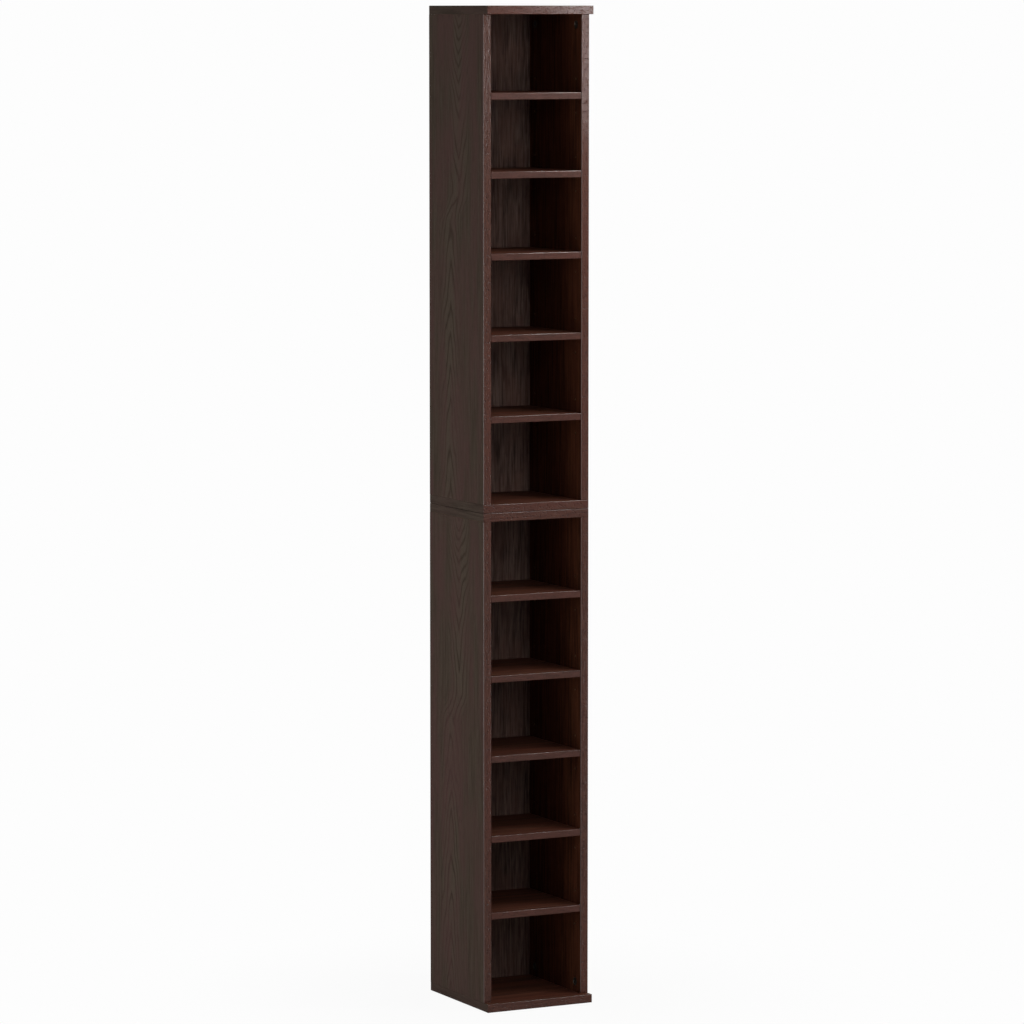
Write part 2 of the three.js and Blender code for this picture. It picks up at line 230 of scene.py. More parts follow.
# %% [markdown]
# The printed laminates
#
# The boards carry melamine laminate: printed paper under a thin hard resin. The print is dark oak,
# with fine darker lines 3 to 9 mm apart along the grain, slow bands that lean to red or to grey, and
# short pores pressed into the surface. The resin is only slightly glossy. Three noise patterns,
# stretched along the grain, give the lines, the bands and the pores. Their scales come from the real
# spacing in millimetres. One function makes every laminate, because only the colours, the sizes and
# the way of the grain differ.

# %% Laminate material
def stretched(tree, coordinates, grain, across_mm, along_mm):
    """Object coordinates counted in pattern widths: one unit is across_mm, or along_mm on the grain."""
    scale = [1.0 / (across_mm * MM)] * 3
    scale["XYZ".index(grain)] = 1.0 / (along_mm * MM)
    return add_node(tree, "Mapping", {"Vector": coordinates, "Scale": scale})


# Each pattern's noise has a detail, a roughness and a distortion, and two values between which its
# share grows from nothing to all.
PATTERNS = {
    "line": (2.0, 0.6, 0.3, 0.36, 0.64),
    "band": (1.0, 0.5, 0.0, 0.35, 0.65),
    "pore": (1.0, 0.5, 0.0, 0.56, 0.68),
}


def laminate(name, grain, inks, look, figure=None):
    """Melamine laminate with a dark oak print.

    inks names its light, dark, red and pore colours. look holds the sizes in mm and the surface
    numbers. figure may turn the straight lines into another pattern.
    """
    light, dark, red, pore = [colour(ink) for ink in inks.split()]
    material, tree = new_material(name)
    coordinates = add_node(tree, "TexCoord").outputs["Object"]
    shares = {}
    for pattern, (detail, roughness, distortion, nothing, everything) in PATTERNS.items():
        place = stretched(tree, coordinates, grain, look[pattern], look[f"{pattern}_run"])
        noise = add_node(tree, "TexNoise", {
            "Vector": place, "Scale": 1.0, "Detail": detail, "Roughness": roughness,
            "Distortion": distortion,
        })
        shares[pattern] = add_node(tree, "MapRange", {
            "Value": noise, "From Min": nothing, "From Max": everything,
            "To Max": look["red_share"] if pattern == "band" else 1.0,
        })
    lines = figure(tree, coordinates, shares["line"]) if figure else shares["line"]
    pore_ink = add_node(tree, "Math", {0: shares["pore"], 1: look["pore_ink"]}, operation="MULTIPLY")
    printed = dark
    for share, ink in ((lines, light), (shares["band"], red), (pore_ink, pore)):
        blend = add_node(tree, "Mix", {0: share, 6: printed, 7: ink}, data_type="RGBA")
        printed = blend.outputs[2]
    line_height = add_node(tree, "Math", {0: lines, 1: look["line_relief"]}, operation="MULTIPLY")
    height = add_node(tree, "Math", {0: line_height, 1: shares["pore"]}, operation="SUBTRACT")
    bump = add_node(tree, "Bump", {
        "Strength": look["emboss"], "Distance": look["emboss_mm"] * MM, "Height": height,
    })
    surface = add_node(tree, "BsdfPrincipled", {
        "Base Color": printed, "Normal": bump, "Roughness": look["roughness"],
        "Specular IOR Level": look["gloss"],
    })
    add_node(tree, "OutputMaterial", {"Surface": surface})
    return material


# Fine lines and pores below 2 mm are too small to show at this distance, so they are drawn at 2 mm
# and more.
BOARD_LOOK = {
    "line": 4.5, "line_run": 160.0, "band": 26.0, "band_run": 420.0, "pore": 2.2, "pore_run": 16.0,
    "red_share": 0.5, "pore_ink": 0.25, "line_relief": 1.0, "emboss": 0.5, "emboss_mm": 0.1,
    "roughness": 0.5, "gloss": 0.03,
}
print("laminate lines every", BOARD_LOOK["line"], "mm")

# %% [markdown]
# The outer sides carry the one print with a picture in it: flat-sawn oak. A narrow column of V
# shapes comes down from the top, and beside it a column of arches comes up from the foot. A saw cut
# through a slightly crooked trunk makes such a figure, so the pattern is made the same way. Each
# point's distance from the trunk's middle line is worked out, and every few millimetres of that
# distance is one ring, drawn as a thin dark line. Where the cut nears the middle line fast, the
# shapes crowd. Both boxes carry the same print, so the height is counted from the foot of each box.

# %% Flat-sawn print for the outer sides
BOX_HEIGHT = 885.15 * MM
FIGURE_CHANGES = 0.6 * BOX_HEIGHT  # V shapes above this height, arches below it
CHANGE_REACH = 30 * MM  # the change takes this much height on either side
V_MIDDLE = -3 * MM  # the middle of the V shapes, along Y
ARCH_MIDDLE = 31 * MM  # the middle of the arches
RING_MM = 5.0  # from one dark line to the next
LINE_SHARE = 0.25  # where a ring's dark line has faded out, counted in rings from its middle
CUT_DEPTH = 58 * MM  # from the trunk's middle line to the cut, where the figure changes
RISE_TO_TOP = 48 * MM  # how much nearer the cut comes to that line at the top
RISE_TO_FOOT = 45 * MM
POINTEDNESS = 1.3  # 2 makes round tips, 1 makes straight-legged ones
WIDTH_SHARE = 0.55  # how much the distance to the side counts: less makes wider shapes
WOBBLE_DEPTH = 12 * MM
WOBBLE_SIZE_MM = (40.0, 110.0)  # across the grain and along it
FIGURE_INSIDE, FIGURE_OUTSIDE = 18 * MM, 45 * MM  # between these the figure fades to straight lines


def flat_sawn_lines(tree, coordinates, straight_lines):
    """A flat-sawn board's rings, from dark to light, with straight lines beside them."""
    place = add_node(tree, "SeparateXYZ", {0: coordinates})
    wobble = add_node(tree, "TexNoise", {
        "Vector": stretched(tree, coordinates, "Z", *WOBBLE_SIZE_MM), "Scale": 1.0, "Detail": 2.0,
        "Roughness": 0.5,
    })
    made = {
        "y": place.outputs["Y"], "z": place.outputs["Z"], "wobble": wobble, "straight": straight_lines,
    }
    # One step a line: the result's name, the calculation, and what goes in. LINEAR and SMOOTHSTEP
    # move a value from one range to another.
    for name, way, *sources in (
        ("height", "MODULO", "z", BOX_HEIGHT),
        ("above", "LINEAR", "height", FIGURE_CHANGES, BOX_HEIGHT, 0.0, 1.0),
        ("below", "LINEAR", "height", FIGURE_CHANGES, 0.0, 0.0, 1.0),
        ("square", "MULTIPLY", "above", "above"),
        ("upper cut", "MULTIPLY_ADD", "square", -RISE_TO_TOP, CUT_DEPTH),
        ("cut", "MULTIPLY_ADD", "below", -RISE_TO_FOOT, "upper cut"),
        (
            "middle line", "SMOOTHSTEP", "height", FIGURE_CHANGES - CHANGE_REACH,
            FIGURE_CHANGES + CHANGE_REACH, ARCH_MIDDLE, V_MIDDLE,
        ),
        ("offset", "SUBTRACT", "y", "middle line"),
        ("aside", "ABSOLUTE", "offset"),
        ("width", "MULTIPLY", "aside", WIDTH_SHARE),
        ("width part", "POWER", "width", POINTEDNESS),
        ("cut part", "POWER", "cut", POINTEDNESS),
        ("both", "ADD", "width part", "cut part"),
        ("distance", "POWER", "both", 1.0 / POINTEDNESS),
        ("wobbled", "MULTIPLY_ADD", "wobble", WOBBLE_DEPTH, "distance"),
        ("rings", "MULTIPLY", "wobbled", 1.0 / (RING_MM * MM)),
        ("from ring", "PINGPONG", "rings", 0.5),
        ("ring lines", "LINEAR", "from ring", 0.0, LINE_SHARE, 0.0, 1.0),
        ("figure share", "LINEAR", "aside", FIGURE_INSIDE, FIGURE_OUTSIDE, 0.85, 0.1),
        ("soft lines", "MULTIPLY_ADD", "straight", 0.55, 0.28),
    ):
        inputs = {index: made.get(source, source) for index, source in enumerate(sources)}
        if way in ("LINEAR", "SMOOTHSTEP"):
            made[name] = add_node(tree, "MapRange", inputs, interpolation_type=way)
        else:
            made[name] = add_node(tree, "Math", inputs, operation=way)
    inputs = {0: made["figure share"], 2: made["soft lines"], 3: made["ring lines"]}
    return add_node(tree, "Mix", inputs, data_type="FLOAT")


SIDE_LOOK = dict(BOARD_LOOK, line=5.5, line_run=110.0, band=30.0, band_run=150.0, red_share=0.7, gloss=0.01)
INNER_LOOK = dict(BOARD_LOOK, line=5.0, line_run=120.0)
FLAT_LOOK = dict(BOARD_LOOK, line=9.0, line_run=220.0, pore=4.0, pore_run=30.0)
BACK_LOOK = dict(BOARD_LOOK, line=2.8, line_run=60.0, band=22.0, band_run=60.0)
side_outer = laminate(
    "side_laminate_flat_sawn", "Z", "4c4138 352a22 4d3734 2e241f", SIDE_LOOK, flat_sawn_lines,
)
side_inner = laminate("side_laminate_straight", "Z", "5e3826 321c13 552e20 2c1810", INNER_LOOK)
flat_board = laminate("flat_board_laminate", "X", "543528 321d16 502b21 2a1912", FLAT_LOOK)
back_print = laminate("back_panel_laminate", "Z", "6b5850 3b2c27 5e443c 2b201b", BACK_LOOK)
print("laminates:", side_outer.name, side_inner.name, flat_board.name, back_print.name)

# %% [markdown]
# The edging
#
# The edges that show are covered by ABS edging, a plastic strip about one millimetre thick, glued on
# and rounded over. Its print is redder than the boards' and its pores are embossed deeper. It is also
# smoother, so it sparkles where a lamp glances off it. The grain runs along each strip, so there is
# one material for upright strips, one for strips across the front, and one for the board ends. The
# shelves carry a duller strip than the frame round them.

# %% Edging materials
EDGING_INKS = "472d25 38221c 472821 261611"
EDGING_LOOK = dict(
    BOARD_LOOK, line=3.2, line_run=24.0, pore=3.2, pore_run=4.6, pore_ink=0.45, line_relief=0.25,
    emboss=1.0, emboss_mm=0.5, roughness=0.2, gloss=0.1, red_share=0.6,
)
edging_upright = laminate("abs_edging_upright", "Z", EDGING_INKS, EDGING_LOOK)
edging_across = laminate("abs_edging_across", "X", EDGING_INKS, EDGING_LOOK)
edging_shelf = laminate(
    "abs_edging_shelf", "X", "442a24 35201a 44261f 241510",
    dict(EDGING_LOOK, emboss_mm=0.1, roughness=0.45, gloss=0.08),
)
edging_end = laminate("abs_edging_end", "Y", "493e36 392f28 483732 2a211c", SIDE_LOOK)

# The router and the buffing wheel leave an arris glossier than the strip's flat face. In the
# photograph the left arris of an upright strip and the top arris of a strip across the front show it
# as a pale line, so those get this finish.
BUFFED_LOOK = dict(EDGING_LOOK, emboss=0.03, gloss=0.6)
buffed_upright = laminate("buffed_abs_arris_upright", "Z", EDGING_INKS, BUFFED_LOOK)
buffed_across = laminate(
    "buffed_abs_arris_across", "X", EDGING_INKS, dict(BUFFED_LOOK, roughness=0.15, gloss=0.35),
)
print("edging:", edging_upright.name, edging_across.name, edging_shelf.name, edging_end.name)
print("buffed arrises:", buffed_upright.name, buffed_across.name)

# %% [markdown]
# Chipboard shows only in the walls of the holes and the grooves, and at the hidden ends. It is
# pressed wood chips, so its colour jumps from chip to chip, about two millimetres across. A Voronoi
# pattern has just such cells. Its chips are darker than bare chipboard's pale brown: a painted shade
# for the walls deep in the holes.

# %% Chipboard
CHIP_MM = 2.0
chipboard, tree = new_material("chipboard_with_painted_shade")
chip_place = add_node(tree, "TexCoord").outputs["Object"]
chips = add_node(tree, "TexVoronoi", {
    "Vector": chip_place, "Scale": 1.0 / (CHIP_MM * MM), "Randomness": 1.0,
})
chip_grey = add_node(tree, "RGBToBW", {"Color": chips.outputs["Color"]})
# The chip tones are darker than bare chipboard's pale brown: painted shade for the walls deep in the holes.
chip_tones_with_painted_shade = {0: chip_grey, 6: colour("4f3826"), 7: colour("7a5e41")}
chip_colour = add_node(tree, "Mix", chip_tones_with_painted_shade, data_type="RGBA").outputs[2]
chip_bump = add_node(tree, "Bump", {"Strength": 0.6, "Distance": 0.2 * MM, "Height": chip_grey})
chip_surface = add_node(tree, "BsdfPrincipled", {
    "Base Color": chip_colour, "Normal": chip_bump, "Roughness": 0.85, "Specular IOR Level": 0.3,
})
add_node(tree, "OutputMaterial", {"Surface": chip_surface})
print("chips about", CHIP_MM, "mm across")

# %% [markdown]
# The metals
#
# The shelf wires and the cam bolts are bright zinc-plated steel. The cam locks are die-cast zinc,
# duller and slightly grainy. The screws have a yellow passivated coat. For all of them a fine noise
# breaks up the roughness and the tone a little, as handling and plating do, and dents the surface by
# a few hundredths of a millimetre.

# %% Metal materials
def plain_metal(name, tone, darker, grain_mm, smoothest, roughest, dent_mm):
    """A plated or cast metal: tone and roughness vary with a fine noise."""
    material, tree = new_material(name)
    noise = add_node(tree, "TexNoise", {
        "Vector": add_node(tree, "TexCoord").outputs["Object"],
        "Scale": 1.0 / (grain_mm * MM), "Detail": 3.0, "Roughness": 0.6,
    })
    rough = add_node(tree, "MapRange", {
        "Value": noise, "From Min": 0.3, "From Max": 0.7, "To Min": smoothest, "To Max": roughest,
    })
    bump = add_node(tree, "Bump", {"Strength": 0.4, "Distance": dent_mm * MM, "Height": noise})
    blend = add_node(tree, "Mix", {0: noise, 6: colour(darker), 7: colour(tone)}, data_type="RGBA")
    surface = add_node(tree, "BsdfPrincipled", {
        "Base Color": blend.outputs[2], "Metallic": 1.0, "Roughness": rough, "Normal": bump,
    })
    add_node(tree, "OutputMaterial", {"Surface": surface})
    return material


plated_steel = plain_metal("zinc_plated_steel", "c4c5c8", "9fa1a6", 1.2, 0.22, 0.4, 0.02)
cast_zinc = plain_metal("die_cast_zinc", "6e6b66", "45423e", 0.8, 0.38, 0.55, 0.05)
yellow_steel = plain_metal("yellow_passivated_steel", "c9b27a", "a08a55", 1.0, 0.28, 0.45, 0.02)
print("metals:", plated_steel.name, cast_zinc.name, yellow_steel.name)

# %% [markdown]
# Beech dowels are bare turned wood: pale, with straight grain along the dowel and tiny dark flecks
# one or two millimetres long. Two stretched noises give the grain and the flecks.

# %% Beech
GRAIN_SIZE_MM = (0.8, 20.0)  # across the grain and along it
FLECK_SIZE_MM = (0.4, 2.0)
beech, tree = new_material("bare_beech")
beech_place = add_node(tree, "TexCoord").outputs["Object"]
beech_grain, beech_flecks = [
    add_node(tree, "TexNoise", {
        "Vector": stretched(tree, beech_place, "Z", *size_mm), "Scale": 1.0, "Detail": detail,
    })
    for size_mm, detail in ((GRAIN_SIZE_MM, 3.0), (FLECK_SIZE_MM, 1.0))
]
fleck_share = add_node(tree, "MapRange", {
    "Value": beech_flecks, "From Min": 0.6, "From Max": 0.68, "To Max": 0.6,
})
beech_colour = colour("b98d5f")
for share, tone in ((beech_grain, "d9b284"), (fleck_share, "8a5f3c")):
    blend = {0: share, 6: beech_colour, 7: colour(tone)}
    beech_colour = add_node(tree, "Mix", blend, data_type="RGBA").outputs[2]
beech_surface = add_node(tree, "BsdfPrincipled", {
    "Base Color": beech_colour, "Roughness": 0.62, "Specular IOR Level": 0.35,
})
add_node(tree, "OutputMaterial", {"Surface": beech_surface})
print("beech grain every", GRAIN_SIZE_MM[0], "mm")

# %% [markdown]
# Helpers for modelling
#
# Every board starts as a cube primitive at its real size and place, every hole as a cylinder. Faces
# and edges are chosen by where they are and which way they face. A Boolean modifier cuts the holes,
# as a drill would, and gives their walls the cutter's own material, raw chipboard.

# %% Modelling helpers
SAME_PLACE = 0.01 * MM  # what lies nearer than this lies in the same place
ROUND_ANGLE = 35.0  # faces that meet at less than this many degrees are shaded as one round
HANDS = {"left": -1, "right": 1}
BOXES = ("lower", "upper")
LEFT = Vector((-1, 0, 0))
FRONT = Vector((0, -1, 0))
UP = Vector((0, 0, 1))


def pick_only(piece):
    """Selects only this object and makes it the active one."""
    bpy.ops.object.select_all(action="DESELECT")
    piece.select_set(True)
    bpy.context.view_layer.objects.active = piece


def settle(piece, name, material=None):
    """Names the object, gives it its material and puts its place, turn and scale into its mesh."""
    piece.name = piece.data.name = name
    if material:
        piece.data.materials.append(material)
    pick_only(piece)
    bpy.ops.object.transform_apply(location=True, rotation=True, scale=True)
    return piece


def add_block(name, low, high, material=None):
    """A cube primitive between two corners."""
    low, high = Vector(low), Vector(high)
    bpy.ops.mesh.primitive_cube_add(size=1.0, location=(low + high) / 2, scale=high - low)
    return settle(bpy.context.active_object, name, material)


def add_rod(name, base, way, radius, length, sides, material=None, tip_radius=None):
    """A cylinder, or a cone where tip_radius differs, from its base that way, such as UP."""
    bpy.ops.mesh.primitive_cone_add(
        vertices=sides, radius1=radius, radius2=radius if tip_radius is None else tip_radius,
        depth=length, location=Vector(base) + way * length / 2,
        rotation=UP.rotation_difference(way).to_euler(),
    )
    return settle(bpy.context.active_object, name, material)


def choose(piece, kind, wanted):
    """In edit mode, selects the edges or faces for which wanted(element) is true."""
    pick_only(piece)
    bpy.ops.object.mode_set(mode="EDIT")
    bpy.ops.mesh.select_mode(type=kind)
    bpy.ops.mesh.select_all(action="DESELECT")
    mesh = bmesh.from_edit_mesh(piece.data)
    for element in mesh.edges if kind == "EDGE" else mesh.faces:
        element.select_set(bool(wanted(element)))
    bmesh.update_edit_mesh(piece.data)


def middle(element):
    """The middle of an edge or a face."""
    return sum((vertex.co for vertex in element.verts), Vector()) / len(element.verts)


def rise_of(edge, axis=2):
    """How far an edge runs along X, Y or Z, which are axes 0, 1 and 2."""
    return abs(edge.verts[0].co[axis] - edge.verts[1].co[axis])


def round_edges(piece, radius, segments, wanted=lambda edge: True):
    """Rounds the chosen edges with the bevel operator."""
    choose(piece, "EDGE", wanted)
    bpy.ops.mesh.bevel(offset=radius, segments=segments, affect="EDGES", profile=0.5)
    bpy.ops.object.mode_set(mode="OBJECT")


def paint_faces(piece, material, wanted):
    """Gives the chosen faces another material."""
    piece.data.materials.append(material)
    choose(piece, "FACE", wanted)
    piece.active_material_index = len(piece.data.materials) - 1
    bpy.ops.object.material_slot_assign()
    bpy.ops.object.mode_set(mode="OBJECT")


def cut(piece, cutters, material):
    """Joins the cutters to one mesh and takes it out of the piece. The cut walls get the material."""
    for cutter in cutters:
        cutter.data.materials.append(material)
    pick_only(cutters[0])
    for cutter in cutters:
        cutter.select_set(True)
    if len(cutters) > 1:
        bpy.ops.object.join()
    cutter = bpy.context.active_object
    pick_only(piece)
    bpy.ops.object.modifier_add(type="BOOLEAN")
    boolean = piece.modifiers[-1]
    boolean.operation = "DIFFERENCE"
    boolean.solver = "EXACT"
    boolean.use_self = True
    boolean.material_mode = "TRANSFER"
    boolean.object = cutter
    bpy.ops.object.modifier_apply(modifier=boolean.name)
    bpy.data.objects.remove(cutter, do_unlink=True)


def smooth_rounds(piece, degrees=ROUND_ANGLE):
    """Smooth shading over the rounded parts, while the flat faces keep their own direction."""
    pick_only(piece)
    bpy.ops.object.shade_smooth_by_angle(angle=math.radians(degrees))
    bpy.ops.object.modifier_add(type="WEIGHTED_NORMAL")
    piece.modifiers[-1].keep_sharp = True
    bpy.ops.object.modifier_apply(modifier=piece.modifiers[-1].name)


def close_shell(nearness=SAME_PLACE):
    """In edit mode, merges vertices nearer than that to each other and turns all faces outwards."""
    bpy.ops.mesh.select_all(action="SELECT")
    bpy.ops.mesh.remove_doubles(threshold=nearness)
    bpy.ops.mesh.normals_make_consistent(inside=False)
    bpy.ops.object.mode_set(mode="OBJECT")


def copy_of(piece, name, move=(0, 0, 0)):
    """A copy with its own mesh, moved."""
    pick_only(piece)
    bpy.ops.object.duplicate(linked=False)
    twin = bpy.context.active_object
    twin.location = Vector(twin.location) + Vector(move)
    return settle(twin, name)


def mirrored(piece, name, axis=0, plane=0.0, smooth=None):
    """A mirror image in the plane at that place on X, Y or Z, smoothed up to an angle if one is given."""
    twin = copy_of(piece, name)
    factors, centre = [1.0, 1.0, 1.0], [0.0, 0.0, 0.0]
    factors[axis], centre[axis] = -1.0, plane
    choose(twin, "FACE", lambda face: True)
    bpy.ops.transform.resize(value=factors, center_override=centre)
    close_shell(SAME_PLACE / 10)
    if smooth:
        smooth_rounds(twin, smooth)
    return twin


def install(piece, body, slot, *nodes):
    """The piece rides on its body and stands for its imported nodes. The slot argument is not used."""
    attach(piece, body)
    if nodes:
        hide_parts(*nodes)
    mesh = bmesh.new()
    mesh.from_mesh(piece.data)
    closed = all(edge.is_manifold for edge in mesh.edges) and mesh.calc_volume(signed=True) > 0
    mesh.free()
    places = zip(*[vertex.co for vertex in piece.data.vertices])
    size = " x ".join(f"{(max(along) - min(along)) / MM:.2f}" for along in places)
    print(f"{piece.name}: {size} mm,", "closed" if closed else "not closed")


def discard(*templates):
    """Removes the models that the copies were made from."""
    for template in templates:
        bpy.data.objects.remove(template)


print("helpers ready")

# %% [markdown]
# Places that the drillings share
#
# Wires, cam bolts and screws all sit in two upright rows, one near the front and one near the back.
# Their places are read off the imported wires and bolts, so every hole meets its fitting.

# %% Rows and heights
def middle_of(node):
    """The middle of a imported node's box."""
    low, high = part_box(node)
    return (low + high) / 2


ROWS = {row: middle_of(f"lower_cam_bolt_{row}_left").y for row in ("front", "rear")}
BOLT_X = abs(middle_of("lower_cam_bolt_front_left").x)
INNER_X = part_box("lower_right_side")[0].x
OUTER_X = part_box("lower_right_side")[1].x
HOLE_PITCH = 30 * MM
SHELVES = range(1, 6)
WIRE_HEIGHTS = {
    box: [middle_of(f"{box}_shelf_{place}_left_wire").z for place in SHELVES] for box in BOXES
}
print("rows at y, in mm:", {row: round(y / MM, 2) for row, y in ROWS.items()})
print("inner faces at x = +/-", round(INNER_X / MM, 2), "mm, bolts at +/-", round(BOLT_X / MM, 2), "mm")

# %% [markdown]
# The sides
#
# A side is a 15 mm chipboard board, 854 mm tall. Its inner face has a groove for the back, thirty
# holes for the shelf wires, two round pockets for cam locks and, from the end, two bores for the cam
# bolts. The other end has pilot holes for screws. The arrises of a laminated board are sharp, less
# than half a millimetre round. The left side of each box is modelled, and the right one is its mirror
# image. The front millimetre is left free for the edging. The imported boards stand 0.3 mm apart, while
# on the real tower the fittings pull them tight, so here a side reaches almost to the flat boards.

# %% Side boards
EDGING_THICKNESS = 1.2 * MM
BOARD_ARRIS = 0.4 * MM
TIGHTER = Vector((0, 0, 0.28 * MM))
GROOVE_DEPTH = 6 * MM
GROOVE_PLAY = 0.2 * MM
WIRE_HOLE = (2.0 * MM, 9 * MM, 20)  # the radius, depth and number of sides of a hole
CAM_POCKET = (7.5 * MM, 12.5 * MM, 48)
PILOT_HOLE = (1.5 * MM, 30 * MM, 16)
BORE_RADIUS = 3.9 * MM
HOLE_SIDES = 24  # of any other hole
OVER = 1 * MM  # how far a cutter starts outside the face that it enters


def drill(mouth, way, radius, depth, sides=HOLE_SIDES, tip_radius=None):
    """A round cutter that goes into a face at the mouth of its hole."""
    base = Vector(mouth) - way * OVER
    return add_rod("drill", base, way, radius, depth + OVER, sides, tip_radius=tip_radius)


def saw(box, across, heights):
    """The cutter of the groove for a box's back, between two places along X and two heights."""
    low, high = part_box(f"{box}_back_panel")
    near, far = low.y - GROOVE_PLAY, high.y + GROOVE_PLAY
    return add_block("groove", (across[0], near, heights[0]), (across[1], far, heights[1]))


def side_cutters(box, cam_end):
    """The saw and the drills for a box's left side. cam_end is +1 if its cam locks are at the top."""
    low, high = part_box(f"{box}_left_side")
    cutters = [saw(box, (-INNER_X - GROOVE_DEPTH, -INNER_X + OVER), (low.z - OVER, high.z + OVER))]
    end_z, far_z = (high.z, low.z) if cam_end > 0 else (low.z, high.z)
    cam_z = middle_of(f"{box}_cam_lock_front_left").z
    for row in ROWS.values():
        for height in WIRE_HEIGHTS[box]:
            for step in (-1, 0, 1):
                mouth = (-INNER_X, row, height + step * HOLE_PITCH)
                cutters.append(drill(mouth, LEFT, *WIRE_HOLE))
        cutters += [
            drill((-INNER_X, row, cam_z), LEFT, *CAM_POCKET),
            drill((-BOLT_X, row, end_z), UP * -cam_end, BORE_RADIUS, abs(end_z - cam_z)),
            drill((-BOLT_X, row, far_z), UP * cam_end, *PILOT_HOLE),
        ]
    return cutters


def is_end_arris(edge):
    """True for the two long arrises at the top and bottom of a left side's outer face."""
    return middle(edge).x < -OUTER_X + SAME_PLACE and rise_of(edge) < OVER


for box, cam_end in (("lower", -1), ("upper", 1)):
    low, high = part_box(f"{box}_left_side")
    front_corner = low + Vector((0, EDGING_THICKNESS, 0)) - TIGHTER
    left = add_block(f"{box}_left_side_board", front_corner, high + TIGHTER, side_outer)
    round_edges(left, BOARD_ARRIS, 2, lambda edge: middle(edge).y > high.y - OVER or is_end_arris(edge))
    paint_faces(left, side_inner, lambda face: face.normal.x > 0.9)
    paint_faces(left, chipboard, lambda face: abs(face.normal.z) > 0.9)
    cut(left, side_cutters(box, cam_end), chipboard)
    right = mirrored(left, f"{box}_right_side_board")
    for side, hand in ((left, "left"), (right, "right")):
        install(side, f"{box}_box", "dark_laminate", f"{box}_{hand}_side")

# %% [markdown]
# The strips on the front edges
#
# An edging strip is as wide as its board and a little more than a millimetre thick. A router rounds
# its two long arrises after gluing, and that small round catches the light as a pale line. Here a
# cube primitive is made at size, and its long front edges are bevelled with four segments.

# %% Edging strips
ARRIS_RADIUS = 1.0 * MM
ARRIS_SEGMENTS = 4


def edging(name, low, high, face, material, buffed=None, shiny_way=None):
    """A strip between two corners whose arrises round the given face, such as FRONT, are rounded.

    The rounded faces that look partly towards shiny_way get the buffed material.
    """
    strip = add_block(name, low, high, material)
    axis = [abs(value) for value in face].index(1)
    outside = (high if face[axis] > 0 else low)[axis]
    round_edges(
        strip, ARRIS_RADIUS, ARRIS_SEGMENTS, lambda edge: abs(middle(edge)[axis] - outside) < SAME_PLACE,
    )
    if buffed:
        paint_faces(strip, buffed, lambda item: 0.1 < item.normal.dot(shiny_way) < 0.99)
    smooth_rounds(strip, 60.0)
    return strip


def front_edging(name, low, high, *finish):
    """The strip on the front of a board between two corners."""
    return edging(name, low, (high.x, low.y + EDGING_THICKNESS, high.z), FRONT, *finish)


for box in BOXES:
    for hand in HANDS:
        low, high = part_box(f"{box}_{hand}_side")
        strip = front_edging(
            f"{box}_{hand}_side_edging", low - TIGHTER, high + TIGHTER, edging_upright, buffed_upright, LEFT,
        )
        install(strip, f"{box}_box", "dark_laminate")

# %% [markdown]
# The cap and the base
#
# These two boards are a little deeper than the sides, so they stand 16 mm proud in front. Each has a
# groove for the back and four blind holes for the cam bolts, all in the face towards the
# compartments. Strips of edging cover the front and both ends. The front strip is as long as the
# board, and the end strips butt against it.

# %% Cap and base
BOLT_HOLE = (3.4 * MM, 11.5 * MM)
GROOVE_REACH = INNER_X + GROOVE_DEPTH


def four_drills(x, rows, face, way, *sizes):
    """Cutters of one size at four places of a flat board's face."""
    return [drill((sign * x, row, face), way, *sizes) for sign in HANDS.values() for row in rows]


def flat_board_with_strips(node, box, inward, holes, sinks=()):
    """A flat board's core with its laminate faces, groove, holes and sinks, and the strips round it.

    inward is the groove's way into the wood, +1 or -1 in Z.
    """
    low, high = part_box(node)
    inset = Vector((EDGING_THICKNESS, EDGING_THICKNESS, 0))
    end = Vector((EDGING_THICKNESS, 0, 0))
    core = add_block(f"{node}_core", low + inset, high - end, flat_board)
    round_edges(core, BOARD_ARRIS, 2, lambda edge: middle(edge).y > high.y - OVER)
    face = low.z if inward > 0 else high.z
    depths = sorted((face - inward * OVER, face + inward * GROOVE_DEPTH))
    cut(core, [saw(box, (-GROOVE_REACH, GROOVE_REACH), depths), *holes], chipboard)
    if sinks:
        cut(core, sinks, chipboard)
    install(core, f"{box}_box", "dark_laminate", node)
    strip = front_edging(f"{node}_front_edging", low, high, edging_across, buffed_across, UP)
    install(strip, f"{box}_box", "dark_laminate")
    for hand, sign in HANDS.items():
        across = sorted((sign * high.x, sign * (high.x - EDGING_THICKNESS)))
        strip = edging(
            f"{node}_{hand}_edging", (across[0], low.y + EDGING_THICKNESS, low.z),
            (across[1], high.y, high.z), LEFT * -sign, edging_end,
        )
        install(strip, f"{box}_box", "dark_laminate")


for node, box, inward in (("upper_cap_board", "upper", 1), ("lower_base_board", "lower", -1)):
    low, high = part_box(node)
    face = low.z if inward > 0 else high.z
    holes = four_drills(BOLT_X, ROWS.values(), face, UP * inward, *BOLT_HOLE)
    flat_board_with_strips(node, box, inward, holes)

# %% [markdown]
# The two boards at mid-height
#
# The lower box's top and the upper box's bottom lie one on the other. Four countersunk screws hold
# each to its sides, with their heads in the seam between the boxes, and four blind holes take the
# dowels that keep the boxes in line. The cutters of the countersinks are cones.

# %% Boards at mid-height
SCREW_HOLE_RADIUS = 2.3 * MM
SINK_RADIUS = 4.4 * MM
SINK_TIP_RADIUS = 0.9 * SCREW_HOLE_RADIUS  # inside the screw's hole, so that no step is left
SINK_DEPTH = SINK_RADIUS - SINK_TIP_RADIUS
DOWEL_HOLE = (4.25 * MM, 12.5 * MM)
DOWEL_X = middle_of("stack_dowel_front_right").x
DOWEL_ROWS = [middle_of(f"stack_dowel_{row}_right").y for row in ROWS]

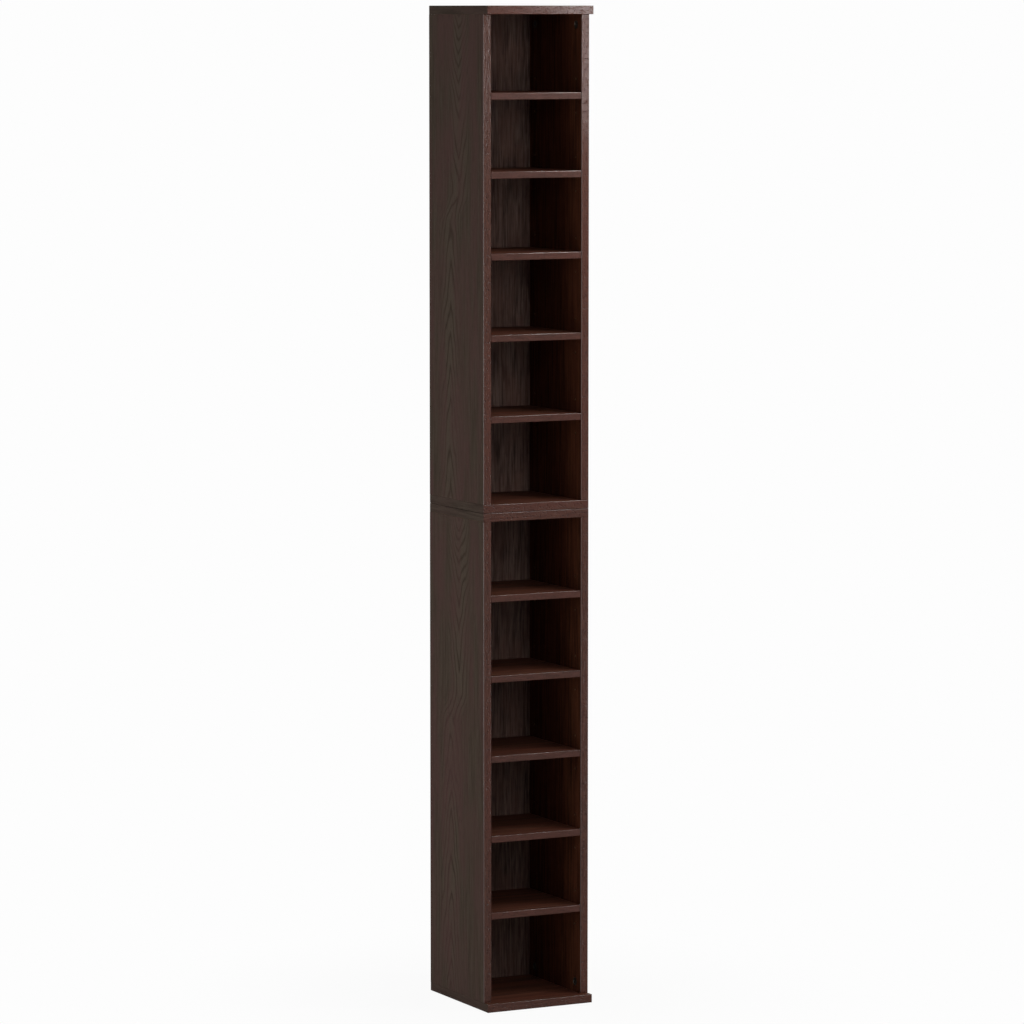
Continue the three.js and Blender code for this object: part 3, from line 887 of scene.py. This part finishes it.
for node, box, inward in (("lower_top_board", "lower", -1), ("upper_bottom_board", "upper", 1)):
    low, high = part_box(node)
    seam_z = high.z if inward < 0 else low.z
    through = high.z - low.z + OVER
    screw_places = (BOLT_X, ROWS.values(), seam_z, UP * inward)
    holes = four_drills(*screw_places, SCREW_HOLE_RADIUS, through)
    holes += four_drills(DOWEL_X, DOWEL_ROWS, seam_z, UP * inward, *DOWEL_HOLE)
    sinks = four_drills(*screw_places, SINK_RADIUS + OVER, SINK_DEPTH, HOLE_SIDES, SINK_TIP_RADIUS)
    flat_board_with_strips(node, box, -inward, holes, sinks)

# %% [markdown]
# The backs
#
# A back is a thin sheet of hardboard, 3 mm, held in grooves on all four sides. It has to slide in, so
# its edges and corners are slightly broken with sandpaper: a small bevel.

# %% Backs
BACK_ARRIS = 0.5 * MM
for box in BOXES:
    back = add_block(f"{box}_back_sheet", *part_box(f"{box}_back_panel"), back_print)
    round_edges(back, BACK_ARRIS, 2)
    install(back, f"{box}_box", "back_panel_laminate", f"{box}_back_panel")

# %% [markdown]
# The shelves
#
# A shelf is a 12 mm board. A saw slot runs in each end, open at the rear and stopped near the front,
# and slides over the long run of the hidden wire. One shelf is modelled with its strip of edging, and
# each of the ten is a copy at its own height.

# %% Shelves
SLOT_HALF = 2.0 * MM
SLOT_DEPTH = 6.75 * MM
SLOT_PLAY = 0.3 * MM
low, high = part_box("upper_shelf_1")
wire_low, wire_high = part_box("upper_shelf_1_left_wire")
wire_z = (wire_low.z + wire_high.z) / 2
shelf_board = add_block("first_shelf", low + Vector((0, EDGING_THICKNESS, 0)), high, flat_board)
round_edges(shelf_board, BOARD_ARRIS, 2, lambda edge: middle(edge).y > high.y - OVER)
slot_cutters = []
for sign, end_x in ((-1, low.x), (1, high.x)):
    across = sorted((end_x + sign * OVER, end_x - sign * SLOT_DEPTH))
    slot_cutters.append(add_block(
        "slot", (across[0], wire_low.y - SLOT_PLAY, wire_z - SLOT_HALF),
        (across[1], high.y + OVER, wire_z + SLOT_HALF),
    ))
cut(shelf_board, slot_cutters, chipboard)
shelf_strip = front_edging("first_shelf_edging", low, high, edging_shelf, buffed_across, UP)
for box in BOXES:
    for place in SHELVES:
        node = f"{box}_shelf_{place}"
        rise = Vector((0, 0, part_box(node)[0].z - low.z))
        install(copy_of(shelf_board, f"{node}_board", rise), node, "shelf_laminate", node)
        install(copy_of(shelf_strip, f"{node}_edging", rise), node, "dark_laminate")
discard(shelf_board, shelf_strip)

# %% [markdown]
# The shelf wires
#
# Each end of a shelf rests on one bent wire, 3.5 mm thick, like a wide staple. Its two legs sit in
# the side, and its long run stands just off the side's face. A circle is extruded along the first
# leg, spun round the bend, extruded for the long run, spun again and extruded for the last leg. Both
# cut ends are capped and slightly broken. Spin turns clockwise round its axis, so the axis points
# down to turn the wire the other way.

# %% Shelf wires
WIRE_RADIUS = 1.75 * MM
WIRE_SIDES = 16
BEND_RADIUS = 3.5 * MM
BEND_STEPS = 6
BROKEN_EDGE = 0.3 * MM
QUARTER_TURN = math.radians(90)


def extrude(along_x, along_y):
    """Extrudes what is selected."""
    bpy.ops.mesh.extrude_region_move(TRANSFORM_OT_translate={"value": (along_x, along_y, 0)})


low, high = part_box("upper_shelf_1_left_wire")
near_y, far_y = low.y + WIRE_RADIUS, high.y - WIRE_RADIUS
bend_x = high.x - WIRE_RADIUS - BEND_RADIUS

bpy.ops.mesh.primitive_circle_add(
    vertices=WIRE_SIDES, radius=WIRE_RADIUS, fill_type="NGON", location=(low.x, near_y, wire_z),
    rotation=(0, QUARTER_TURN, 0),
)
wire = settle(bpy.context.active_object, "first_wire", plated_steel)
bpy.ops.object.mode_set(mode="EDIT")
bpy.ops.mesh.select_all(action="SELECT")
extrude(bend_x - low.x, 0)
for centre_y, run in ((near_y + BEND_RADIUS, far_y - near_y - 2 * BEND_RADIUS), (far_y - BEND_RADIUS, 0)):
    centre = (bend_x, centre_y, wire_z)
    bpy.ops.mesh.spin(steps=BEND_STEPS, angle=QUARTER_TURN, center=centre, axis=(0, 0, -1))
    if run:
        extrude(0, run)
extrude(low.x - bend_x, 0)
close_shell()
round_edges(
    wire, BROKEN_EDGE, 2,
    lambda edge: all(abs(vertex.co.x - low.x) < SAME_PLACE for vertex in edge.verts),
)
smooth_rounds(wire, ROUND_ANGLE)
wires = {"left": wire, "right": mirrored(wire, "first_right_wire", smooth=ROUND_ANGLE)}
for box in BOXES:
    for place in SHELVES:
        for hand, template in wires.items():
            node = f"{box}_shelf_{place}_{hand}_wire"
            rise = Vector((0, 0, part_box(node)[0].z - low.z))
            install(copy_of(template, f"{node}_rod", rise), f"{box}_box", "support_steel", node)
discard(*wires.values())

# %% [markdown]
# The cam locks
#
# A cam lock is a die-cast zinc disc, just under 15 mm across, with a cross for the screwdriver in its
# face and an opening in its rim that takes the bolt's head. The disc is a cylinder primitive with a
# bevelled rim. A shallow ring is inset in its face, and the cross and the opening are cut out.

# %% Cam locks
CROSS_LENGTH = 7 * MM
CROSS_WIDTH = 1.6 * MM
CROSS_DEPTH = 2 * MM
RIM_WIDTH = 1.0 * MM
STEP_WIDTH = 0.3 * MM
HEAD_BORE_RADIUS = 3.65 * MM
BORE_PAST_MIDDLE = 1.9 * MM


def cross_cutters(face_middle, axis, length, width, depth):
    """Two blocks that cut a screwdriver's cross into a face which looks along +X or +Z."""
    blocks = []
    for long_axis in [index for index in range(3) if index != axis]:
        reach = Vector((width / 2, width / 2, width / 2))
        reach[long_axis] = length / 2
        low, high = face_middle - reach, face_middle + reach
        low[axis], high[axis] = face_middle[axis] - depth, face_middle[axis] + OVER
        blocks.append(add_block("cross", low, high))
    return blocks


low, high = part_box("lower_cam_lock_front_left")
centre = (low + high) / 2
disc_radius = (high.z - low.z) / 2
face_middle = Vector((high.x, centre.y, centre.z))
cam = add_rod("first_cam", face_middle, LEFT, disc_radius, high.x - low.x, 48, cast_zinc)
round_edges(cam, BROKEN_EDGE, 2, lambda edge: rise_of(edge, 0) < SAME_PLACE)
choose(cam, "FACE", lambda face: face.normal.x > 0.99 and len(face.verts) > 8)
bpy.ops.mesh.inset(thickness=RIM_WIDTH, depth=0.0)
bpy.ops.mesh.inset(thickness=STEP_WIDTH, depth=-STEP_WIDTH)
bpy.ops.object.mode_set(mode="OBJECT")
cut(cam, cross_cutters(face_middle, 0, CROSS_LENGTH, CROSS_WIDTH, CROSS_DEPTH), cast_zinc)
opening_mouth = (-BOLT_X, centre.y, centre.z - disc_radius)
cut(cam, [drill(opening_mouth, UP, HEAD_BORE_RADIUS, disc_radius + BORE_PAST_MIDDLE)], cast_zinc)
smooth_rounds(cam)
cams = {("lower", "left"): cam}
cams["lower", "right"] = mirrored(cam, "first_cam_right", smooth=ROUND_ANGLE)
for hand in HANDS:
    name = f"first_{hand}_cam_up"
    cams["upper", hand] = mirrored(cams["lower", hand], name, 2, centre.z, smooth=ROUND_ANGLE)
for (box, hand), template in cams.items():
    for row in ROWS:
        node = f"{box}_cam_lock_{row}_{hand}"
        move = middle_of(node) - centre
        disc = copy_of(template, f"{node}_disc", (0, move.y, move.z))
        install(disc, f"{box}_box", "zinc", node)
discard(*cams.values())

# %% [markdown]
# The cam bolts
#
# A cam bolt is turned from steel: a head and a thin neck that the cam grips, a thicker stem, and a
# coarse thread that goes into the cap or the base. It is drawn as half of its outline, point by
# point, and spun once round its own axis. Each ridge of the thread is a small ring.

# %% Cam bolts
SPIN_STEPS = 24
TURNED_ANGLE = 30.0


def spun(name, outline_mm, material, axis_place):
    """A closed outline of (radius, height) points, in mm, spun round an upright axis."""
    x, y, z = axis_place
    points = [(x + radius * MM, y, z + height * MM) for radius, height in outline_mm]
    mesh = bpy.data.meshes.new(name)
    mesh.from_pydata(points, [(index, index + 1) for index in range(len(points) - 1)], [])
    piece = bpy.data.objects.new(name, mesh)
    bpy.context.scene.collection.objects.link(piece)
    pick_only(piece)
    bpy.ops.object.mode_set(mode="EDIT")
    bpy.ops.mesh.select_all(action="SELECT")
    bpy.ops.mesh.spin(steps=SPIN_STEPS, angle=4 * QUARTER_TURN, center=axis_place, axis=UP)
    close_shell()
    piece.data.materials.append(material)
    return piece


def thread_outline(root, crest, start, end, pitch):
    """Ring ridges between two heights, as outline points from start to end."""
    points = []
    count = int(abs(end - start) / pitch)
    way = 1 if end > start else -1
    for turn in range(count):
        base = start + way * turn * pitch
        points += [(root, base), (crest, base + way * pitch * 0.4), (crest, base + way * pitch * 0.5)]
    return points + [(root, start + way * count * pitch)]


low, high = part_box("upper_cam_bolt_front_left")
joint_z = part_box("upper_cap_board")[0].z
head = (low.z - joint_z) / MM
tip = (high.z - joint_z) / MM
bolt_outline = [
    (0, head), (2.6, head), (3.25, head + 0.6), (3.25, head + 2.4), (2.6, head + 3), (2.0, head + 3),
    (2.0, -10.1), (3.0, -9.6), (3.5, -9.0), (3.5, -0.3), *thread_outline(2.3, 3.0, 0.2, 9.5, 1.8),
    (1.2, tip - 0.4), (0, tip),
]
bolt_place = (low + high) / 2
bolt = spun("first_bolt", bolt_outline, plated_steel, (bolt_place.x, bolt_place.y, joint_z))
smooth_rounds(bolt, TURNED_ANGLE)
bolts = {"upper": bolt, "lower": mirrored(bolt, "first_bolt_down", 2, bolt_place.z, TURNED_ANGLE)}
for box, template in bolts.items():
    for row in ROWS:
        for hand in HANDS:
            node = f"{box}_cam_bolt_{row}_{hand}"
            move = middle_of(node) - bolt_place
            install(copy_of(template, f"{node}_pin", move), f"{box}_box", "support_steel", node)
discard(*bolts.values())

# %% [markdown]
# The dowels
#
# A dowel is a short beech rod, 8 mm across, with chamfered ends and fine flutes along it that let
# glue and air out. Here the ends of a cylinder primitive with 48 sides are bevelled, and every third
# long edge is drawn in a little.

# %% Dowels
DOWEL_RADIUS = 4 * MM
DOWEL_SIDES = 48
DOWEL_CHAMFER = 1.0 * MM
FLUTE_SHARE = 0.93  # how far from the axis the drawn-in edges stay
low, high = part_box("stack_dowel_front_left")
axis_place = (low + high) / 2
foot = (axis_place.x, axis_place.y, low.z)
dowel = add_rod("first_dowel", foot, UP, DOWEL_RADIUS, high.z - low.z, DOWEL_SIDES, beech)
round_edges(dowel, DOWEL_CHAMFER, 1, lambda edge: rise_of(edge) < SAME_PLACE)


def is_flute(edge):
    """True for every third long edge of the dowel."""
    aside = middle(edge) - axis_place
    place = round(math.degrees(math.atan2(aside.y, aside.x)) / (360 / DOWEL_SIDES))
    return rise_of(edge) > 10 * MM and place % 3 == 0


choose(dowel, "EDGE", is_flute)
bpy.ops.transform.resize(value=(FLUTE_SHARE, FLUTE_SHARE, 1.0), center_override=axis_place)
bpy.ops.object.mode_set(mode="OBJECT")
smooth_rounds(dowel, 25.0)
for row in ROWS:
    for hand in HANDS:
        node = f"stack_dowel_{row}_{hand}"
        move = middle_of(node) - axis_place
        install(copy_of(dowel, f"{node}_peg", move), "lower_box", "beech", node)
discard(dowel)

# %% [markdown]
# The screws at mid-height
#
# Eight countersunk chipboard screws hold the two middle boards to the sides. They are too small for
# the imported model, so they exist only here: a flat head with a cross, a cone under it, and a coarse
# thread to the tip. The outline is spun like the bolt's, and the cross is cut out.

# %% Screws
SCREW_LENGTH_MM = 40.0
HEAD_RADIUS_MM = 4.0
SCREW_CROSS = (4.4 * MM, 1.0 * MM, 2 * MM)  # its length, width and depth
seam_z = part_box("lower_top_board")[1].z
screw_place = (-BOLT_X, ROWS["front"], seam_z - 0.3 * MM)
screw_outline = [
    (0, 0), (HEAD_RADIUS_MM - 0.2, 0), (HEAD_RADIUS_MM, -0.2), (HEAD_RADIUS_MM, -0.4), (1.6, -2.8),
    (1.45, -3.2), *thread_outline(1.15, 2.0, -8, -36, 1.9), (0.5, 0.8 - SCREW_LENGTH_MM),
    (0, -SCREW_LENGTH_MM),
]
screw = spun("first_screw", screw_outline, yellow_steel, screw_place)
cut(screw, cross_cutters(Vector(screw_place), 2, *SCREW_CROSS), yellow_steel)
smooth_rounds(screw, TURNED_ANGLE)
seam_middle = (seam_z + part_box("upper_bottom_board")[0].z) / 2
screws = {"lower": screw, "upper": mirrored(screw, "first_screw_up", 2, seam_middle, TURNED_ANGLE)}
for box, template in screws.items():
    for row, row_y in ROWS.items():
        for hand, sign in HANDS.items():
            move = (sign * BOLT_X + BOLT_X, row_y - ROWS["front"], 0)
            piece = copy_of(template, f"{box}_seam_screw_{row}_{hand}", move)
            install(piece, f"{box}_box", "support_steel")
discard(*screws.values())
